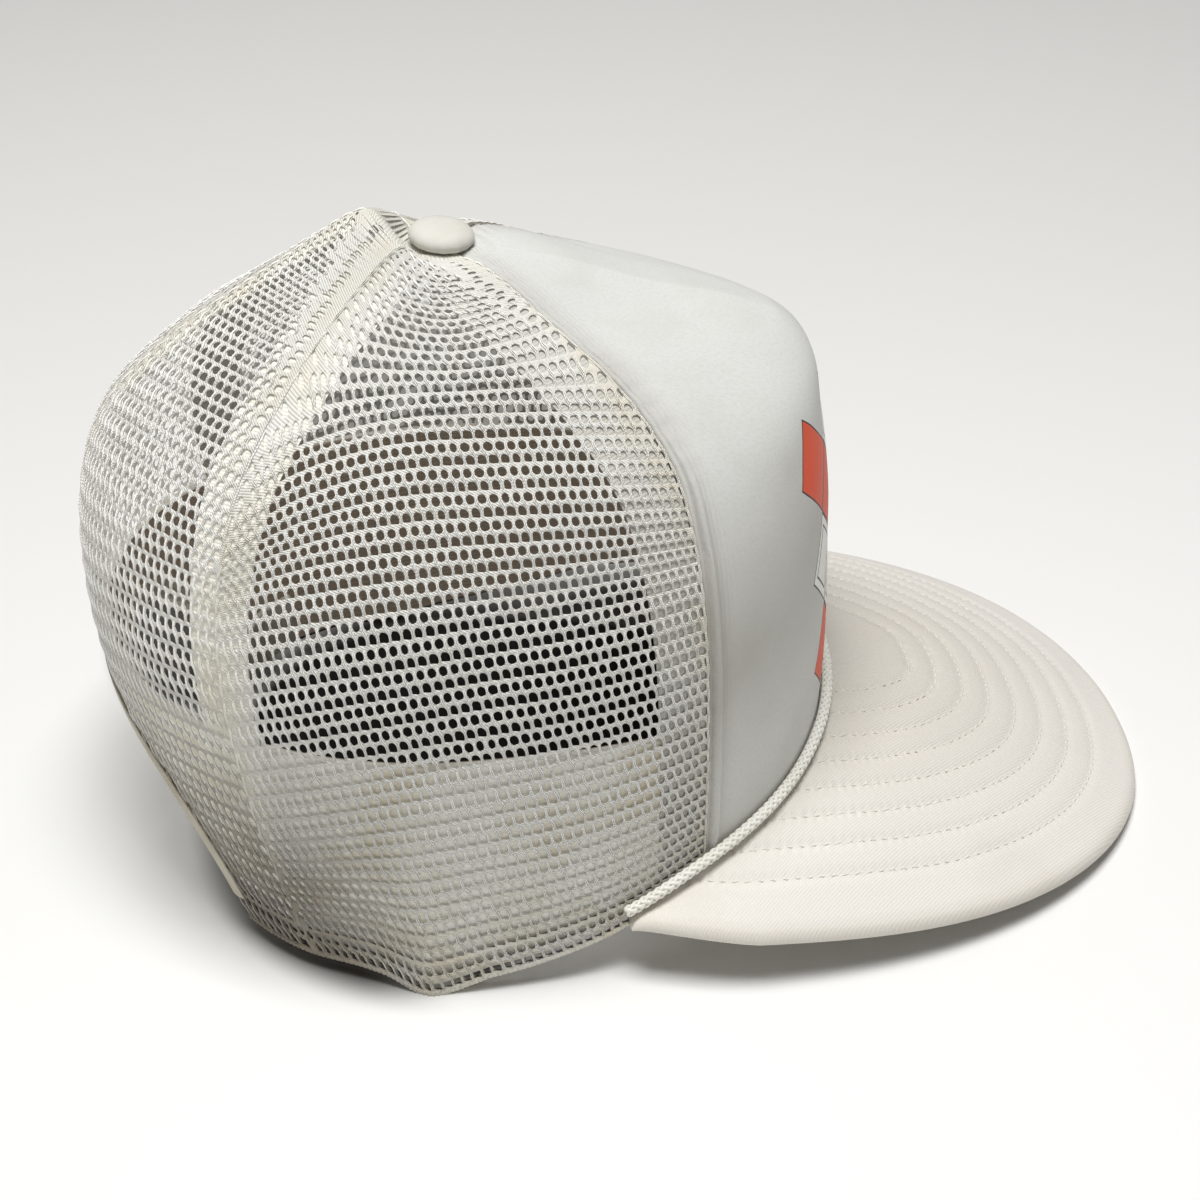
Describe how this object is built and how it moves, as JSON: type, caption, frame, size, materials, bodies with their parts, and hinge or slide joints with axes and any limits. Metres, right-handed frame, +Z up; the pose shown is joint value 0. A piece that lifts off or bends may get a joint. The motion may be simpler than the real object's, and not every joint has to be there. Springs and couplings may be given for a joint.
{
  "type": "trucker cap",
  "caption": "Trucker cap with a tall foam front panel, pierced net sides and back, a long rope-trimmed brim and an arch with a plastic strap at the rear.",
  "frame": {"origin": "middle of the cap's length and width, on the surface that it rests on", "axes": "+Z up, -Y out over the brim, +X to the wearer's left"},
  "size_m": [0.1768, 0.276, 0.1724],
  "materials": {
    "foam_front": "satin knit bonded to foam, slightly soiled",
    "net": "open polyester net, yellowed with age",
    "tape": "woven seam tape, aged",
    "band": "woven sweatband, aged",
    "brim_fabric": "satin woven cover, quilted with stitch rows",
    "rope": "twisted satin cord",
    "binding": "folded cotton tape, yellowed",
    "strap": "smooth moulded plastic",
    "button": "fabric covered, satin"
  },
  "bodies": {
    "root": {"front_panel": "foam_front", "mesh_side_left": "net", "mesh_side_right": "net", "mesh_back_left": "net", "mesh_back_right": "net", "front_seam_tape_left": "tape", "front_seam_tape_right": "tape", "side_seam_tape_left": "tape", "side_seam_tape_right": "tape", "back_seam_tape": "tape", "sweatband": "band", "arch_binding": "binding", "snap_strap": "strap", "brim": "brim_fabric", "rope_trim": "rope", "top_button": "button"}
  },
  "joints": []
}
